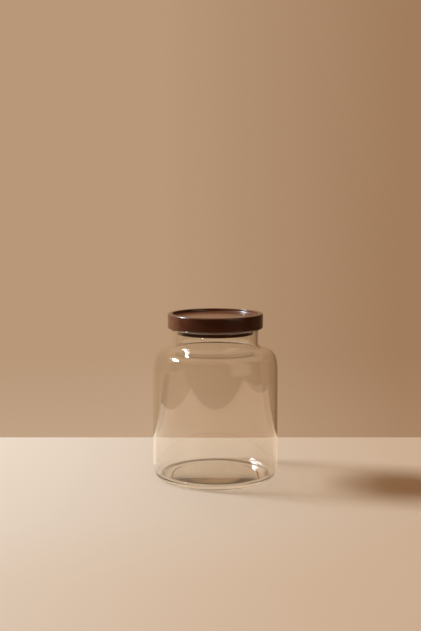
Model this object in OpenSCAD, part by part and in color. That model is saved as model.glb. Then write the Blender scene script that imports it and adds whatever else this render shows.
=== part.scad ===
// Glass storage jar with a turned wood lid and a seal ring.
// Millimetres, +Z up, origin at the centre of the surface the jar stands on.

/* [Glass body] */
// Outer diameter of the straight wall
body_d = 130; // [124:1:160]
// Height of the glass, from the standing ring to the top of the rim
glass_h = 155; // [120:0.1:220]
// Thickness of the wall, shoulder and neck
wall = 2.4; // [1.8:0.1:4]
// Radius of the slow sweep in from the wall towards the heel
heel_sweep_r = 36; // [12:1:60]
// Angle that this sweep turns through
heel_sweep_angle = 20.5; // [5:0.5:35]
// Radius between the sweep and the standing ring
heel_r = 5; // [3:0.1:10]

/* [Glass base] */
// Thickness of the base at the axis
base_t = 2.8; // [2.2:0.1:6]
// Diameter inside the standing ring
punt_d = 91; // [80:1:96]
// Height of the push-up above the standing surface
punt_h = 0.9; // [0.4:0.1:3]
// Radius between the push-up's wall and its ceiling
punt_cove_r = 1.4; // [0.8:0.1:4]
// Radius between the push-up's wall and the standing ring
punt_edge_r = 2; // [1:0.1:6]

/* [Floor inside] */
// Radius of the low crown over the push-up
floor_crown_r = 600; // [450:10:1500]
// Diameter of the crown, up to its flank
floor_crown_d = 78; // [60:1:80]
// Radius that turns the crown down into its flank
floor_flank_r = 115; // [80:1:300]
// Diameter where the flank is steepest
floor_flank_d = 90; // [86:1:96]
// Radius of the shallow dish round the flank
floor_dish_r = 45; // [30:1:80]
// Radius between the dish and the wall
floor_corner_r = 7; // [4:0.1:10]

/* [Shoulder and neck] */
// Radius of the slow sweep in from the wall
sweep_r = 55; // [30:1:80]
// Angle that the slow sweep turns through
sweep_angle = 14.5; // [5:0.5:25]
// Radius of the rounded shoulder
shoulder_r = 12; // [8:0.1:20]
// Rise of the shoulder's top towards the neck, in degrees
shoulder_slope = 16; // [4:1:30]
// Radius of the hollow blend from the shoulder into the neck
neck_blend_r = 5.5; // [2:0.1:9]
// Outer diameter of the neck
neck_d = 89; // [76:0.1:100]
// Height of the straight neck, from the blend to the top of the rim
neck_h = 14.6; // [11:0.1:30]

/* [Lid flange] */
// Outer diameter of the lid
lid_d = 98.5; // [94:0.5:120]
// Thickness of the flange over the rim
flange_t = 15.3; // [8:0.1:20]
// Radius that eases the top outer edge
top_edge_r = 1.5; // [0.3:0.1:2.5]
// Radius that eases the lower outer edge
under_edge_r = 1.5; // [0.3:0.1:2.5]
// Gap between the rim of the glass and the flange
seat_gap = 0.3; // [0.1:0.05:1]

/* [Lid tray] */
// Width of the raised edge around the tray in the lid's top
tray_rim_w = 5; // [4:0.1:12]
// Depth of the tray
tray_depth = 3.2; // [2.7:0.1:5]
// Radius of the cove at the foot of the tray's wall
tray_cove_r = 1.8; // [0.5:0.1:2.2]
// Radius that eases the tray's upper edge
tray_edge_r = 0.8; // [0.2:0.1:1.2]

/* [Lid plug] */
// Gap between the plug and the bore of the neck, on each side
plug_gap = 2.5; // [1.2:0.1:4]
// Depth of the plug below the flange
plug_h = 5.8; // [5:0.1:11]
// Radius that eases the plug's lower edge
plug_edge_r = 0.9; // [0.3:0.1:1.5]

/* [Seal] */
// Height of wood between the flange and the seal's groove
groove_drop = 0.6; // [0.4:0.1:2]
// Height of the groove
groove_w = 1.6; // [1.4:0.1:2.6]
// Depth of the groove into the plug
groove_depth = 2; // [1:0.1:4]
// Fit of the ring in its groove, all round
seal_fit = 0.1; // [0.05:0.05:0.2]
// Running gap between the ring and the bore of the neck
seal_gap = 0.3; // [0.1:0.05:0.6]

/* [Hidden] */
$fn = 128;

// Steps along one rounded corner, and along the long flat crown
corner_steps = 8;
crown_steps = 14;

body_r = body_d / 2;
inner_r = body_r - wall;
neck_r = neck_d / 2;
bore_r = neck_r - wall;
rim_r = wall / 2;

// Heel: the small radius on the standing ring, and the sweep from there up into the wall
heel_link = heel_sweep_r - heel_r;
heel_sweep_x = body_r - heel_sweep_r;
heel_c = [heel_sweep_x + heel_link * cos(heel_sweep_angle), heel_r];
heel_sweep_c = [heel_sweep_x, heel_r + heel_link * sin(heel_sweep_angle)];

// Underside: a flat ceiling, and the S of cove and edge from there down to the standing ring
punt_link = punt_cove_r + punt_edge_r;
punt_turn = acos(1 - punt_h / punt_link);
punt_edge_c = [punt_d / 2, punt_edge_r];
punt_cove_c = [punt_edge_c.x - punt_link * sin(punt_turn), punt_h - punt_cove_r];

// Floor inside, from the axis out: crown, flank, dish and corner, each tangent to the one before
floor_crown_c = [0, punt_h + base_t - floor_crown_r];
crown_angle = acos(floor_crown_d / 2 / floor_crown_r);
floor_flank_c = floor_crown_c
    + (floor_crown_r - floor_flank_r) * [cos(crown_angle), sin(crown_angle)];
flank_angle = acos((floor_flank_d / 2 - floor_flank_c.x) / floor_flank_r);
floor_dish_c = floor_flank_c
    + (floor_flank_r + floor_dish_r) * [cos(flank_angle), sin(flank_angle)];
corner_x = inner_r - floor_corner_r;
corner_drop = sqrt(pow(floor_dish_r - floor_corner_r, 2) - pow(floor_dish_c.x - corner_x, 2));
floor_corner_c = [corner_x, floor_dish_c.y - corner_drop];
corner_angle = atan2(corner_drop, floor_dish_c.x - corner_x) - 180;

// Shoulder, from the top down: the blend hangs from the neck, the rest hangs from the blend
shoulder_end = 90 - shoulder_slope;
blend_c = [neck_r + neck_blend_r, glass_h - neck_h];
shoulder_x = body_r - sweep_r + (sweep_r - shoulder_r) * cos(sweep_angle);
shoulder_drop = ((shoulder_x - blend_c.x) * cos(shoulder_end) + shoulder_r + neck_blend_r)
    / sin(shoulder_end);
shoulder_c = [shoulder_x, blend_c.y - shoulder_drop];
sweep_c = [body_r - sweep_r, shoulder_c.y - (sweep_r - shoulder_r) * sin(sweep_angle)];

// Heights on the lid
flange_z = glass_h + seat_gap;
lid_top = flange_z + flange_t;
plug_z = flange_z - plug_h;
tray_z = lid_top - tray_depth;
groove_top = flange_z - groove_drop;
groove_floor = groove_top - groove_w;

// Radii on the lid and the seal
lid_r = lid_d / 2;
tray_r = lid_r - tray_rim_w;
plug_r = bore_r - plug_gap;
groove_r = plug_r - groove_depth;
seal_r = bore_r - seal_gap;
seal_half = groove_w / 2 - seal_fit;
seal_z = groove_top - groove_w / 2;

// Points along an arc about c, from one angle to another
function arc(c, r, from, to, steps = corner_steps) =
    [for (i = [0 : steps]) let (t = from + (to - from) * i / steps) c + r * [cos(t), sin(t)]];

// Underside of the glass, from the axis out to the wall
function glass_underside() = concat(
    [[0, punt_h]],
    arc(punt_cove_c, punt_cove_r, 90, 90 - punt_turn),
    arc(punt_edge_c, punt_edge_r, -90 - punt_turn, -90),
    arc(heel_c, heel_r, -90, -heel_sweep_angle),
    arc(heel_sweep_c, heel_sweep_r, -heel_sweep_angle, 0)
);

// Outside of the glass shoulder, up to the neck; depth moves it into the wall
function glass_shoulder(depth) = concat(
    arc(sweep_c, sweep_r - depth, 0, sweep_angle),
    arc(shoulder_c, shoulder_r - depth, sweep_angle, shoulder_end),
    arc(blend_c, neck_blend_r + depth, shoulder_end + 180, 180)
);

// Floor of the jar, from the wall in to the axis
function glass_floor() = concat(
    arc(floor_corner_c, floor_corner_r, 0, corner_angle),
    arc(floor_dish_c, floor_dish_r, corner_angle, flank_angle - 180),
    arc(floor_flank_c, floor_flank_r, flank_angle, crown_angle),
    arc(floor_crown_c, floor_crown_r, crown_angle, 90, crown_steps)
);

// Blown in one piece, with a fire-polished rim
module glass_jar() {
    rim = arc([neck_r - rim_r, glass_h - rim_r], rim_r, 0, 180);
    inside = glass_shoulder(wall);
    color([0.93, 0.95, 0.92, 0.4])
        rotate_extrude()
            polygon(concat(
                glass_underside(),
                glass_shoulder(0),
                rim,
                [for (i = [len(inside) - 1 : -1 : 0]) inside[i]],
                glass_floor()
            ));
}

// Underside of the lid: the plug with its groove, and the flange's lower edge
function lid_underside() = concat(
    [[0, plug_z]],
    arc([plug_r - plug_edge_r, plug_z + plug_edge_r], plug_edge_r, -90, 0),
    [
        [plug_r, groove_floor],
        [groove_r, groove_floor],
        [groove_r, groove_top],
        [plug_r, groove_top],
        [plug_r, flange_z]
    ],
    arc([lid_r - under_edge_r, flange_z + under_edge_r], under_edge_r, -90, 0)
);

// Top of the lid: the raised edge and the tray inside it
function lid_top_face() = concat(
    arc([lid_r - top_edge_r, lid_top - top_edge_r], top_edge_r, 0, 90),
    arc([tray_r + tray_edge_r, lid_top - tray_edge_r], tray_edge_r, 90, 180),
    arc([tray_r - tray_cove_r, tray_z + tray_cove_r], tray_cove_r, 0, -90),
    [[0, tray_z]]
);

// Turned from one blank
module wood_lid() {
    color([0.29, 0.17, 0.11])
        rotate_extrude()
            polygon(concat(lid_underside(), lid_top_face()));
}

// Soft ring with a flat back in the groove and a round nose towards the glass
module seal_ring() {
    color([0.86, 0.84, 0.8])
        rotate_extrude()
            polygon(concat(
                [[groove_r + seal_fit, seal_z - seal_half]],
                arc([seal_r - seal_half, seal_z], seal_half, -90, 90),
                [[groove_r + seal_fit, seal_z + seal_half]]
            ));
}

glass_jar();
wood_lid();
seal_ring();
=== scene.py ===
import bpy
import bmesh
import math
from mathutils import Matrix, Vector


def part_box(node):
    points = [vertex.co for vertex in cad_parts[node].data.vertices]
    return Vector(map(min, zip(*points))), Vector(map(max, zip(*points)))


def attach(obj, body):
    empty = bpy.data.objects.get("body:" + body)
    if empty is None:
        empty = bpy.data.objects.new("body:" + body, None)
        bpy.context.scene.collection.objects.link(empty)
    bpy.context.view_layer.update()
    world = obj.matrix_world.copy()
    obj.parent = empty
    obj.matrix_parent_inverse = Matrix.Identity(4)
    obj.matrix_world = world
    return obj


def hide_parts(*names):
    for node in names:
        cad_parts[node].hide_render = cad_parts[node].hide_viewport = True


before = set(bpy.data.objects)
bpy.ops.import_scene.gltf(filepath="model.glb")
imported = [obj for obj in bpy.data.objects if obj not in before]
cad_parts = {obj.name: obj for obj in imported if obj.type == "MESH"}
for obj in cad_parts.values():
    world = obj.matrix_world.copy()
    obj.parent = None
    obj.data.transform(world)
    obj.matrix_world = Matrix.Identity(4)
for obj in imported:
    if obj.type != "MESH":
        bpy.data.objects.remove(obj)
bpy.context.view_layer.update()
mm = 0.001
print("frame loaded:", ", ".join(sorted(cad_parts)))

# camera first, so that every other stage can be looked at through it
viewer = {
    "place": (-5 * mm, -1005 * mm, 282 * mm),  # a little left of the jar's middle, a metre in front
    "tilt": 6.47,                              # degrees below level
    "lens": 55.87,
    "sensor": 36.0,
}


def makeCamera():
    data = bpy.data.cameras.new("viewer")
    data.lens = viewer["lens"]
    data.sensor_width = viewer["sensor"]
    data.dof.use_dof = False
    cam = bpy.data.objects.new("viewer", data)
    cam.location = viewer["place"]
    cam.rotation_euler = (math.radians(90 - viewer["tilt"]), 0, 0)
    bpy.context.collection.objects.link(cam)
    bpy.context.scene.camera = cam
    bpy.context.scene.view_settings.view_transform = "Standard"


makeCamera()
print("camera placed")


# colours are written as sRGB hex and turned to linear here
def linear(hexColour, alpha=1.0):
    parts = [int(hexColour[i:i + 2], 16) / 255 for i in (1, 3, 5)]
    return tuple(c / 12.92 if c <= 0.04045 else ((c + 0.055) / 1.055) ** 2.4 for c in parts) + (alpha,)


def addNode(tree, kind, inputs=None, **settings):
    node = tree.nodes.new(kind)
    for name, value in settings.items():
        setattr(node, name, value)
    for socket, value in (inputs or {}).items():
        if isinstance(value, bpy.types.NodeSocket):
            tree.links.new(value, node.inputs[socket])
        else:
            node.inputs[socket].default_value = value
    return node


# short forms for the nodes that recur: each gives back the socket of its result, or a noise's two
def addRamp(tree, factor, stops):
    node = addNode(tree, "ShaderNodeValToRGB", {"Fac": factor})
    marks = node.color_ramp.elements
    while len(marks) < len(stops):
        marks.new(0.5)
    for mark, (place, colour) in zip(marks, stops):
        mark.position = place
        mark.color = colour
    return node.outputs["Color"]


def addMaths(tree, operation, *values, **settings):
    node = addNode(tree, "ShaderNodeMath", dict(enumerate(values)), operation=operation, **settings)
    return node.outputs[0]


def addVectorMaths(tree, operation, *values):
    node = addNode(tree, "ShaderNodeVectorMath", dict(enumerate(values)), operation=operation)
    return node.outputs["Value" if operation in ("LENGTH", "DOT_PRODUCT") else "Vector"]


def addRange(tree, value, span=(0.0, 1.0), to=(0.0, 1.0), **settings):
    return addNode(tree, "ShaderNodeMapRange", {
        "Value": value, "From Min": span[0], "From Max": span[1], "To Min": to[0], "To Max": to[1],
    }, **settings).outputs[0]


def addSmoothRange(tree, value, span, to=(0.0, 1.0)):
    return addRange(tree, value, span, to, interpolation_type="SMOOTHSTEP")


def addColourMix(tree, factor, a, b, blend="MIX"):
    return addNode(tree, "ShaderNodeMix", {"Factor": factor, "A": a, "B": b},
                   data_type="RGBA", blend_type=blend).outputs["Result"]


def addShaderMix(tree, factor, a, b):
    return addNode(tree, "ShaderNodeMixShader", {0: factor, 1: a, 2: b}).outputs[0]


def addCoordinates(tree, kind):
    return addNode(tree, "ShaderNodeTexCoord").outputs[kind]


def addNoise(tree, where, scale, detail, **inputs):
    stretched = addNode(tree, "ShaderNodeMapping", {"Vector": where, "Scale": scale}).outputs[0]
    return addNode(tree, "ShaderNodeTexNoise", {
        "Vector": stretched, "Scale": 1.0, "Detail": detail, **inputs,
    }).outputs


def newMaterial(name):
    mat = bpy.data.materials.new(name)
    mat.use_nodes = True
    mat.node_tree.nodes.clear()
    return mat, mat.node_tree


# Soda-lime glass, blown and fire-polished: smooth and colourless face on, faintly warm through its depth
glassLook = {
    "ior": 1.5,
    "tint": "#fefcf8",
    "passed": (0.78, 0.66, 0.30, 1.0),   # what thick glass still passes
    "absorbPerMetre": 9.0,
    "shadeTint": (1.0, 0.993, 0.985),
    # share of light let by, from face on to edge on
    "shade": ((0.0, 0.96), (0.55, 0.95), (0.8, 0.85), (0.95, 0.5), (1.0, 0.2)),
}


def blownGlass():
    mat, tree = newMaterial("blownSodaLimeGlass")
    glass = addNode(tree, "ShaderNodeBsdfPrincipled", {
        "Base Color": linear(glassLook["tint"]),
        "Roughness": 0.0,
        "IOR": glassLook["ior"],
        "Transmission Weight": 1.0,
    }).outputs[0]
    # lamps and soft light pass straight through, dimmer where the wall is met edge on
    facing = addNode(tree, "ShaderNodeLayerWeight", {"Blend": 0.5}).outputs["Facing"]
    dimming = addRamp(tree, facing, [(place, tuple(share * c for c in glassLook["shadeTint"]) + (1,))
                                     for place, share in glassLook["shade"]])
    straight = addNode(tree, "ShaderNodeBsdfTransparent", {"Color": dimming}).outputs[0]
    rays = addNode(tree, "ShaderNodeLightPath").outputs
    soft = addShaderMix(tree, rays["Is Diffuse Ray"], glass, straight)
    surface = addShaderMix(tree, rays["Is Shadow Ray"], soft, straight)
    depth = addNode(tree, "ShaderNodeVolumeAbsorption", {
        "Color": glassLook["passed"],
        "Density": glassLook["absorbPerMetre"],
    }).outputs[0]
    addNode(tree, "ShaderNodeOutputMaterial", {"Surface": surface, "Volume": depth})
    return mat


# Dark acacia, turned across the board and oiled: brown-black rings, fine open pores, satin sheen
woodLook = {
    "pith": (0.0, 40 * mm, -320 * mm),    # heart of the tree, seen from the lid; the grain runs along X
    "wanderScale": (6, 22, 22), "wander": 11 * mm,
    "ringWidth": 2.6 * mm,
    "ringShades": ((0.0, 0.35), (0.2, 0.65), (0.7, 0.55), (1.0, 0.35)),
    "bandScale": (9, 95, 95), "bandShare": 0.5,
    "fibreWidth": 0.35 * mm, "fibreLength": 18 * mm, "fibreShare": 0.28,
    "colours": ((0.30, "#2b160c"), (0.50, "#60331e"), (0.68, "#8b4d2c")),
    "poreWidth": 0.22 * mm, "poreLength": 2.6 * mm, "poreSpacing": 3,
    "poreEdge": (0.16, 0.30), "poreShare": 0.6, "pore": "#140804",
    "glossSpan": (0.3, 0.7), "roughness": (0.42, 0.3), "sheen": 0.3,
    "grain": 0.25, "grainDepth": 0.05 * mm,
    "oil": 0.6, "oilRoughness": 0.12, "oilIor": 1.7,
}


def oiledWood():
    look = woodLook
    mat, tree = newMaterial("oiledDarkAcacia")
    where = addCoordinates(tree, "Object")
    # slow wander of the grain, long along X
    wander = addNoise(tree, where, look["wanderScale"], 3.0)["Color"]
    wander = addVectorMaths(tree, "SUBTRACT", wander, (0.5, 0.5, 0.5))
    wander = addVectorMaths(tree, "MULTIPLY", wander, (look["wander"],) * 3)
    bent = addVectorMaths(tree, "ADD", where, wander)
    # distance from the pith gives the rings
    fromPith = addVectorMaths(tree, "SUBTRACT", bent, look["pith"])
    across = addVectorMaths(tree, "MULTIPLY", fromPith, (0, 1, 1))
    years = addMaths(tree, "MULTIPLY", addVectorMaths(tree, "LENGTH", across), 1 / look["ringWidth"])
    ringShade = addRamp(tree, addMaths(tree, "FRACT", years),
                        [(place, (shade, shade, shade, 1)) for place, shade in look["ringShades"]])
    # wide bands that take several rings
    bands = addNoise(tree, bent, look["bandScale"], 4.0, Roughness=0.6)["Fac"]
    fibreScale = (1 / look["fibreLength"], 1 / look["fibreWidth"], 1 / look["fibreWidth"])
    fibres = addNoise(tree, bent, fibreScale, 3.0)["Fac"]
    figure = addNode(tree, "ShaderNodeMix", {"Factor": look["bandShare"], "A": ringShade, "B": bands},
                     data_type="FLOAT").outputs[0]
    figure = addNode(tree, "ShaderNodeMix", {"Factor": look["fibreShare"], "A": figure, "B": fibres},
                     data_type="FLOAT").outputs[0]
    colour = addRamp(tree, figure, [(place, linear(shade)) for place, shade in look["colours"]])
    # pores are short dark strokes along the grain
    poreAcross = 1 / look["poreWidth"] / look["poreSpacing"]
    poreSpace = addNode(tree, "ShaderNodeMapping", {
        "Vector": bent, "Scale": (1 / look["poreLength"], poreAcross, poreAcross),
    }).outputs[0]
    pores = addNode(tree, "ShaderNodeTexVoronoi", {"Vector": poreSpace, "Scale": 1.0, "Randomness": 1.0})
    inPore = addRange(tree, pores.outputs["Distance"], look["poreEdge"], (1.0, 0.0))
    poreDark = addMaths(tree, "MULTIPLY", inPore, look["poreShare"])
    grain = addNode(tree, "ShaderNodeBump", {
        "Height": addMaths(tree, "SUBTRACT", fibres, inPore),
        "Strength": look["grain"],
        "Distance": look["grainDepth"],
    }).outputs[0]
    wood = addNode(tree, "ShaderNodeBsdfPrincipled", {
        "Base Color": addColourMix(tree, poreDark, colour, linear(look["pore"])),
        "Roughness": addRange(tree, figure, look["glossSpan"], look["roughness"]),
        "Normal": grain,
        "Specular IOR Level": look["sheen"],
        "Coat Weight": look["oil"],
        "Coat Roughness": look["oilRoughness"],
        "Coat IOR": look["oilIor"],
    }).outputs[0]
    addNode(tree, "ShaderNodeOutputMaterial", {"Surface": wood})
    return mat


# Moulded silicone rubber: pale, milky and satin, a little see-through at its thin edge
siliconeLook = {
    "body": "#e4c8b4", "ior": 1.41,
    "roughness": (0.32, 0.44), "dustScale": 900.0,
    "milk": 0.6, "milkDepth": 2 * mm, "milkColour": (1.0, 0.9, 0.8), "clear": 0.25,
}


def milkySilicone():
    look = siliconeLook
    mat, tree = newMaterial("mouldedSilicone")
    dust = addNode(tree, "ShaderNodeTexNoise", {
        "Vector": addCoordinates(tree, "Object"), "Scale": look["dustScale"], "Detail": 2.0,
    }).outputs["Fac"]
    rubber = addNode(tree, "ShaderNodeBsdfPrincipled", {
        "Base Color": linear(look["body"]),
        "Roughness": addRange(tree, dust, to=look["roughness"]),
        "IOR": look["ior"],
        "Subsurface Weight": look["milk"],
        "Subsurface Radius": look["milkColour"],
        "Subsurface Scale": look["milkDepth"],
        "Transmission Weight": look["clear"],
    }).outputs[0]
    addNode(tree, "ShaderNodeOutputMaterial", {"Surface": rubber})
    return mat


looks = {"glass": blownGlass(), "wood": oiledWood(), "seal": milkySilicone()}
print("materials made")

weld = 0.002 * mm   # vertices nearer than this are one


def cosine(angle):
    return math.cos(math.radians(angle))


def sine(angle):
    return math.sin(math.radians(angle))


def polar(centre, radius, angle):
    return (centre[0] + radius * cosine(angle), centre[1] + radius * sine(angle))


def line(r, z, steps=1):
    return ("line", r, z, 0, steps)


def arc(centre, turn, steps):
    return ("arc", centre[0], centre[1], turn, steps)


# A profile is drawn with a pen in the XZ plane: a line adds vertices, an arc spins the last one about a
# centre
def drawProfile(bm, start, moves):
    pen = bm.verts.new((start[0], 0, start[1]))
    for kind, r, z, turn, steps in moves:
        if kind == "arc":
            swept = bmesh.ops.spin(bm, geom=[pen], cent=(r, 0, z), axis=(0, -1, 0),
                                   angle=math.radians(turn), steps=steps, use_duplicate=False)
            pen = [g for g in swept["geom_last"] if isinstance(g, bmesh.types.BMVert)][0]
        else:
            origin = pen.co.copy()
            for i in range(steps):
                pen = bmesh.ops.extrude_vert_indiv(bm, verts=[pen])["verts"][0]
                pen.co = origin.lerp(Vector((r, 0, z)), (i + 1) / steps)


# turns a profile about Z into a piece that takes the place of its CAD node
def lathe(name, start, moves, values, body, node, look):
    bm = bmesh.new()
    drawProfile(bm, start, moves)
    # a quarter turn, mirrored twice, is the full turn in a seventh of the time
    bmesh.ops.spin(bm, geom=bm.verts[:] + bm.edges[:], cent=(0, 0, 0), axis=(0, 0, 1),
                   angle=math.tau / 4, steps=values["around"] // 4, use_duplicate=False)
    for axis in "XY":
        bmesh.ops.mirror(bm, geom=bm.verts[:] + bm.edges[:] + bm.faces[:], matrix=Matrix.Identity(4),
                         merge_dist=weld, axis=axis)
    bmesh.ops.remove_doubles(bm, verts=bm.verts[:], dist=weld)
    bmesh.ops.recalc_face_normals(bm, faces=bm.faces[:])
    for face in bm.faces:
        face.smooth = True
    mesh = bpy.data.meshes.new(name)
    bm.to_mesh(mesh)
    bm.free()
    if "sharp" in values:
        mesh.set_sharp_from_angle(angle=math.radians(values["sharp"]))
    piece = bpy.data.objects.new(name, mesh)
    piece.data.materials.append(look)
    bpy.context.collection.objects.link(piece)
    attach(piece, body)
    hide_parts(node)
    print(name, "has", len(mesh.polygons), "faces")


# The jar is one shell of glass: underside, wall, shoulder, neck, rim and the same way back inside
jar = {
    "bodyR": 65 * mm, "wall": 2.4 * mm,
    "heelSweepR": 36 * mm, "heelSweepAngle": 20.5, "heelR": 5 * mm,
    "baseT": 2.8 * mm, "puntR": 45.5 * mm, "puntH": 0.9 * mm, "puntCoveR": 1.4 * mm, "puntEdgeR": 2 * mm,
    "crownR": 600 * mm, "crownX": 39 * mm, "flankR": 115 * mm, "flankX": 45 * mm, "dishR": 45 * mm,
    "cornerR": 7 * mm,
    "sweepR": 55 * mm, "sweepAngle": 14.5, "shoulderR": 12 * mm, "shoulderSlope": 16,
    "blendR": 5.5 * mm, "neckR": 44.5 * mm, "neckH": 14.6 * mm,
    "around": 288,
}


def makeJar():
    j = jar
    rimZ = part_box("glass_jar")[1].z
    innerR, boreR, rimR = j["bodyR"] - j["wall"], j["neckR"] - j["wall"], j["wall"] / 2
    # underside: a flat ceiling, and the S of cove and edge down to the standing ring
    puntLink = j["puntCoveR"] + j["puntEdgeR"]
    puntTurn = math.degrees(math.acos(1 - j["puntH"] / puntLink))
    edgeC = (j["puntR"], j["puntEdgeR"])
    coveC = (j["puntR"] - puntLink * sine(puntTurn), j["puntH"] - j["puntCoveR"])
    # heel, from the standing ring up into the wall
    heelLink = j["heelSweepR"] - j["heelR"]
    heelSweepC = (j["bodyR"] - j["heelSweepR"], j["heelR"] + heelLink * sine(j["heelSweepAngle"]))
    heelC = (heelSweepC[0] + heelLink * cosine(j["heelSweepAngle"]), j["heelR"])
    # floor inside: crown, flank, dish and corner, each tangent to the one before
    crownC = (0.0, j["puntH"] + j["baseT"] - j["crownR"])
    crownAngle = math.degrees(math.acos(j["crownX"] / j["crownR"]))
    flankC = polar(crownC, j["crownR"] - j["flankR"], crownAngle)
    flankAngle = math.degrees(math.acos((j["flankX"] - flankC[0]) / j["flankR"]))
    dishC = polar(flankC, j["flankR"] + j["dishR"], flankAngle)
    cornerX = innerR - j["cornerR"]
    cornerDrop = math.sqrt((j["dishR"] - j["cornerR"]) ** 2 - (dishC[0] - cornerX) ** 2)
    cornerC = (cornerX, dishC[1] - cornerDrop)
    cornerAngle = math.degrees(math.atan2(cornerDrop, dishC[0] - cornerX)) - 180
    # shoulder, hung from the neck
    end = 90 - j["shoulderSlope"]
    blendC = (j["neckR"] + j["blendR"], rimZ - j["neckH"])
    sweepLink = j["sweepR"] - j["shoulderR"]
    shoulderX = j["bodyR"] - j["sweepR"] + sweepLink * cosine(j["sweepAngle"])
    drop = ((shoulderX - blendC[0]) * cosine(end) + j["shoulderR"] + j["blendR"]) / sine(end)
    shoulderC = (shoulderX, blendC[1] - drop)
    sweepC = (j["bodyR"] - j["sweepR"], shoulderC[1] - sweepLink * sine(j["sweepAngle"]))
    slopeOut = polar(blendC, j["blendR"], end + 180)
    slopeIn = polar(shoulderC, j["shoulderR"] - j["wall"], end)
    moves = [
        line(coveC[0], j["puntH"], 12),
        arc(coveC, -puntTurn, 6),
        arc(edgeC, puntTurn, 8),
        line(heelC[0], 0.0, 3),
        arc(heelC, 90 - j["heelSweepAngle"], 12),
        arc(heelSweepC, j["heelSweepAngle"], 8),
        line(j["bodyR"], sweepC[1], 24),
        arc(sweepC, j["sweepAngle"], 12),
        arc(shoulderC, end - j["sweepAngle"], 20),
        line(*slopeOut, 2),
        arc(blendC, -end, 14),
        line(j["neckR"], rimZ - rimR, 5),
        arc((j["neckR"] - rimR, rimZ - rimR), 180, 16),
        line(boreR, blendC[1], 5),
        arc(blendC, end, 16),
        line(*slopeIn, 2),
        arc(shoulderC, j["sweepAngle"] - end, 16),
        arc(sweepC, -j["sweepAngle"], 12),
        line(innerR, cornerC[1], 26),
        arc(cornerC, cornerAngle, 14),
        arc(dishC, flankAngle - 180 - cornerAngle, 12),
        arc(flankC, crownAngle - flankAngle, 8),
        arc(crownC, 90 - crownAngle, 24),
    ]
    lathe("glassJar", (0.0, j["puntH"]), moves, j, "jar", "glass_jar", looks["glass"])


makeJar()

# The lid: plug with its groove, flange, raised edge and tray
lid = {
    "lidR": 49.25 * mm, "topEdgeR": 1.5 * mm, "underEdgeR": 1.5 * mm,
    "trayRimW": 5 * mm, "trayDepth": 3.2 * mm, "trayCoveR": 1.8 * mm, "trayEdgeR": 0.8 * mm,
    "plugR": 39.6 * mm, "plugH": 5.8 * mm, "plugEdgeR": 0.9 * mm, "flangeT": 15.3 * mm,
    "grooveDrop": 0.6 * mm, "grooveW": 1.6 * mm, "grooveDepth": 2 * mm,
    "around": 224, "sharp": 40,
}


def makeLid():
    d = lid
    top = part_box("wood_lid")[1].z
    flangeZ = top - d["flangeT"]
    plugZ = flangeZ - d["plugH"]
    trayR, trayZ = d["lidR"] - d["trayRimW"], top - d["trayDepth"]
    grooveTop = flangeZ - d["grooveDrop"]
    grooveR, grooveFloor = d["plugR"] - d["grooveDepth"], grooveTop - d["grooveW"]
    moves = [
        line(d["plugR"] - d["plugEdgeR"], plugZ, 8),
        arc((d["plugR"] - d["plugEdgeR"], plugZ + d["plugEdgeR"]), 90, 6),
        line(d["plugR"], grooveFloor, 2),
        line(grooveR, grooveFloor),
        line(grooveR, grooveTop),
        line(d["plugR"], grooveTop),
        line(d["plugR"], flangeZ),
        line(d["lidR"] - d["underEdgeR"], flangeZ, 2),
        arc((d["lidR"] - d["underEdgeR"], flangeZ + d["underEdgeR"]), 90, 8),
        line(d["lidR"], top - d["topEdgeR"], 5),
        arc((d["lidR"] - d["topEdgeR"], top - d["topEdgeR"]), 90, 8),
        line(trayR + d["trayEdgeR"], top, 2),
        arc((trayR + d["trayEdgeR"], top - d["trayEdgeR"]), 90, 6),
        line(trayR, trayZ + d["trayCoveR"]),
        arc((trayR - d["trayCoveR"], trayZ + d["trayCoveR"]), -90, 8),
        line(0.0, trayZ, 10),
    ]
    lathe("woodLid", (0.0, plugZ), moves, d, "lid", "wood_lid", looks["wood"])


makeLid()

# The seal: flat back in the groove, round nose towards the glass
seal = {"backR": 37.7 * mm, "noseR": 41.8 * mm, "height": 1.4 * mm, "around": 224, "sharp": 40}


def makeSeal():
    low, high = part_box("seal_ring")
    middle, half = (low.z + high.z) / 2, seal["height"] / 2
    back, nose = seal["backR"], seal["noseR"] - half
    moves = [
        line(nose, middle - half, 2),
        arc((nose, middle), 180, 14),
        line(back, middle + half, 2),
        line(back, middle - half),
    ]
    lathe("sealRing", (back, middle - half), moves, seal, "lid", "seal_ring", looks["seal"])


makeSeal()
print("pieces made")

# The board: matt paint on a table with a straight back edge, paler on the left; painted shade towards the
# lamp and for mirrored and scattered rays, and a painted glow for mirrored rays
board = {
    "low": (-1600 * mm, -1700 * mm), "high": (1700 * mm, 164 * mm),   # its X and Y
    "drop": 0.05 * mm,                 # just under the glass, so that the two never share a plane
    "left": "#dacdbf", "right": "#d9c1a8", "leftToRight": (-175 * mm, 215 * mm),
    "nearer": (-150 * mm, -300 * mm), "nearerWarmth": 0.35,
    # painted shade: a darker paint towards the lamp, in place of its light held back
    "paintedShadeByLamp": "#8f7256", "paintedShadeTowardsLamp": (-250 * mm, -1100 * mm),
    "roughness": 0.75, "sheen": 0.2,
    # painted shade and painted reflection: what mirrored and scattered rays see of it
    "paintedShade": "#27211a", "paintedShadeUnderJar": "#7a5a36", "jarReach": 66 * mm,
    "diffusePaintedShadeShare": 0.7, "paintedReflectionBoost": 0.2,
    "mirrorMiddle": 60 * mm, "mirrorHalf": 480 * mm, "mirrorFront": -455 * mm,
    "ahead": (-140 * mm, -260 * mm),
}


def atLeast(tree, count, times):
    return addMaths(tree, "GREATER_THAN", count, times - 0.5)


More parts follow.
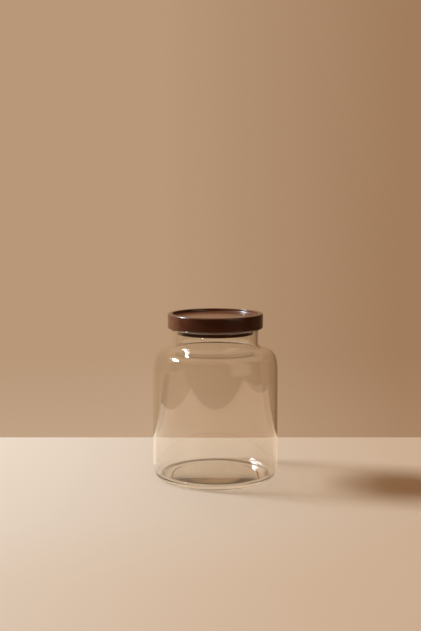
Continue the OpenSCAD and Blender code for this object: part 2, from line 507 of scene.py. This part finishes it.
def mattPaintWithPaintedShade():
    look = board
    mat, tree = newMaterial("mattPaintWithPaintedShade")
    where = addCoordinates(tree, "Object")
    at = addNode(tree, "ShaderNodeSeparateXYZ", {0: where}).outputs
    along = addRange(tree, at["X"], look["leftToRight"], clamp=False)
    nearer = addRange(tree, at["Y"], look["nearer"], (0.0, look["nearerWarmth"]))
    warmth = addMaths(tree, "ADD", along, nearer, use_clamp=True)
    colour = addColourMix(tree, warmth, linear(look["left"]), linear(look["right"]))
    # painted shade: the paint deepens towards the lamp and stands in for the lamp's light held back there,
    # so that no part of the board burns out
    colour = addColourMix(tree, addRange(tree, at["X"], look["paintedShadeTowardsLamp"]), colour, linear(look["paintedShadeByLamp"]))
    paint = addNode(tree, "ShaderNodeBsdfPrincipled", {
        "Base Color": colour,
        "Roughness": look["roughness"],
        "Specular IOR Level": look["sheen"],
    }).outputs[0]
    rays = addNode(tree, "ShaderNodeLightPath").outputs
    mirrored = atLeast(tree, rays["Glossy Depth"], 1)
    # painted shade: rays that run to and fro inside the base find the board under the jar painted brown
    close = addMaths(tree, "LESS_THAN", addVectorMaths(tree, "LENGTH", where), look["jarReach"])
    paintedShadeUnderJar = addMaths(tree, "MULTIPLY", close, atLeast(tree, rays["Glossy Depth"], 2))
    # painted shade: the dark colour that mirrored and scattered rays find in place of the lit board
    unlit = addColourMix(tree, paintedShadeUnderJar, linear(look["paintedShade"]), linear(look["paintedShadeUnderJar"]))
    dark = addNode(tree, "ShaderNodeBsdfDiffuse", {"Color": unlit}).outputs[0]
    # painted reflection: the board glows a little for rays mirrored by the wall nearer to the eye, so that
    # wall mirrors it more brightly
    nearWall = addMaths(tree, "SUBTRACT", 1.0, atLeast(tree, rays["Transmission Depth"], 3))
    paintedReflectionLevel = addMaths(tree, "MULTIPLY", addMaths(tree, "MULTIPLY", mirrored, nearWall), look["paintedReflectionBoost"])
    paintedReflectionGlow = addNode(tree, "ShaderNodeEmission", {"Color": colour, "Strength": paintedReflectionLevel}).outputs[0]
    paintAndPaintedReflection = addNode(tree, "ShaderNodeAddShader", {0: paint, 1: paintedReflectionGlow}).outputs[0]
    # painted shade: scattered rays mostly find it painted dark, so little light comes back up from it, as
    # beside dark flags
    paintedShade = addMaths(tree, "MULTIPLY", rays["Is Diffuse Ray"], look["diffusePaintedShadeShare"])
    # painted shade: the far wall mirrors none of its front, which it finds painted dark
    ahead = addMaths(tree, "MAXIMUM", addSmoothRange(tree, at["Y"], look["ahead"]), paintedShadeUnderJar)
    farWall = addMaths(tree, "MULTIPLY", atLeast(tree, rays["Transmission Depth"], 4), ahead)
    # painted shade: and no wall mirrors what lies further out than this, which mirrored rays find painted
    # dark
    sideways = addMaths(tree, "ABSOLUTE", addMaths(tree, "SUBTRACT", at["X"], look["mirrorMiddle"]))
    beyond = addMaths(tree, "MAXIMUM", addMaths(tree, "GREATER_THAN", sideways, look["mirrorHalf"]),
                      addMaths(tree, "LESS_THAN", at["Y"], look["mirrorFront"]))
    unseen = addMaths(tree, "MULTIPLY", mirrored, addMaths(tree, "MAXIMUM", farWall, beyond))
    surface = addShaderMix(tree, addMaths(tree, "MAXIMUM", paintedShade, unseen), paintAndPaintedReflection, dark)
    addNode(tree, "ShaderNodeOutputMaterial", {"Surface": surface})
    return mat


def makeBoard():
    (left, front), (right, back) = board["low"], board["high"]
    middle = ((left + right) / 2, (front + back) / 2, -board["drop"])
    bm = bmesh.new()
    bmesh.ops.create_grid(bm, x_segments=2, y_segments=2, size=0.5)
    bmesh.ops.scale(bm, vec=(right - left, back - front, 1), verts=bm.verts[:])
    bmesh.ops.translate(bm, vec=middle, verts=bm.verts[:])
    mesh = bpy.data.meshes.new("board")
    bm.to_mesh(mesh)
    bm.free()
    top = bpy.data.objects.new("board", mesh)
    top.data.materials.append(mattPaintWithPaintedShade())
    bpy.context.collection.objects.link(top)


# The room: a tan wall behind, painted lighter on the left towards the softbox, and a soft ceiling, dark on
# the camera's side.
# Spans are parts of a direction of length 1, from the jar outwards.
room = {
    # painted light: the wall is lighter on the left, nearer the softbox
    "wallLeft": "#b89879", "wallRight": "#a17d5d", "leftToRight": (-0.05, 0.19),
    "foot": (1.12, 1.16, 1.24, 1.0), "footSpan": (-0.15, -0.235),   # the board brightens the wall's foot
    "behind": 1.3, "behindSpan": (-0.15, 0.2),
    "front": 0.05, "frontInGlass": 0.2,
    "above": 1.06, "aboveSpan": (0.4, 0.8),
    "right": 0.2, "rightSpan": (0.15, 0.75),
    "patch": "#d8c0a8", "patchTowards": (0.755, -0.656, 0.0), "patchSpan": (0.9, 0.985),
    "patchRise": (-0.14, 0.05),
}


def makeRoom():
    look = room
    world = bpy.data.worlds.new("room")
    bpy.context.scene.world = world
    world.use_nodes = True
    tree = world.node_tree
    tree.nodes.clear()
    direction = addCoordinates(tree, "Generated")
    way = addNode(tree, "ShaderNodeSeparateXYZ", {0: direction}).outputs
    rays = addNode(tree, "ShaderNodeLightPath").outputs
    colour = addColourMix(tree, addRange(tree, way["X"], look["leftToRight"]),
                          linear(look["wallLeft"]), linear(look["wallRight"]))
    lit = addColourMix(tree, addRange(tree, way["Z"], look["footSpan"]), colour, look["foot"], "MULTIPLY")
    wall = addNode(tree, "ShaderNodeBackground", {"Color": lit}).outputs[0]
    # what lights the object, and what it mirrors
    wallLevel = addRange(tree, rays["Is Diffuse Ray"], to=(1.0, look["behind"]))
    frontLevel = addRange(tree, rays["Transmission Depth"], to=(look["front"], look["frontInGlass"]))
    behind = addSmoothRange(tree, way["Y"], look["behindSpan"], (frontLevel, wallLevel))
    above = addSmoothRange(tree, way["Z"], look["aboveSpan"], (0.0, look["above"]))
    right = addRange(tree, way["X"], look["rightSpan"], (1.0, look["right"]))
    level = addMaths(tree, "MULTIPLY", addMaths(tree, "MAXIMUM", behind, above), right)
    around = addNode(tree, "ShaderNodeBackground", {"Color": colour, "Strength": level}).outputs[0]
    # a pale patch at the front right, which is mirrored but lights nothing
    bearing = addVectorMaths(tree, "NORMALIZE", addVectorMaths(tree, "MULTIPLY", direction, (1, 1, 0)))
    towards = addVectorMaths(tree, "DOT_PRODUCT", bearing, look["patchTowards"])
    patch = addSmoothRange(tree, towards, look["patchSpan"])
    patch = addSmoothRange(tree, way["Z"], look["patchRise"], (0.0, patch))
    patch = addRange(tree, rays["Is Diffuse Ray"], to=(patch, 0.0))
    glow = addNode(tree, "ShaderNodeBackground", {
        "Color": linear(look["patch"]), "Strength": patch,
    }).outputs[0]
    around = addNode(tree, "ShaderNodeAddShader", {0: around, 1: glow}).outputs[0]
    bounced = atLeast(tree, addMaths(tree, "ADD", rays["Glossy Depth"], rays["Is Diffuse Ray"]), 1)
    addNode(tree, "ShaderNodeOutputWorld", {"Surface": addShaderMix(tree, bounced, wall, around)})


# One softbox, high on the left and a little behind
key = {
    "away": 2.1, "aim": (0, 0, 100 * mm), "turn": 12.6, "rise": 40.5,
    "wide": 0.52, "high": 0.36, "power": 52.5, "colour": (0.87, 0.955, 1.0),
}


def makeKey():
    data = bpy.data.lights.new("softbox", "AREA")
    data.shape = "RECTANGLE"
    data.size, data.size_y = key["wide"], key["high"]
    data.energy = key["power"]
    data.color = key["colour"]
    lamp = bpy.data.objects.new("softbox", data)
    level = cosine(key["rise"])
    towards = Vector((-cosine(key["turn"]) * level, sine(key["turn"]) * level, sine(key["rise"])))
    lamp.location = Vector(key["aim"]) + towards * key["away"]
    lamp.rotation_euler = towards.to_track_quat("Z", "Y").to_euler()
    bpy.context.collection.objects.link(lamp)


makeBoard()
makeRoom()
makeKey()
# light that runs inside the base needs long paths
bounces = 24
paths = bpy.context.scene.cycles
paths.max_bounces = paths.glossy_bounces = paths.transmission_bounces = bounces
paths.transparent_max_bounces = bounces
paths.sample_clamp_indirect = 0.0
print("studio made")
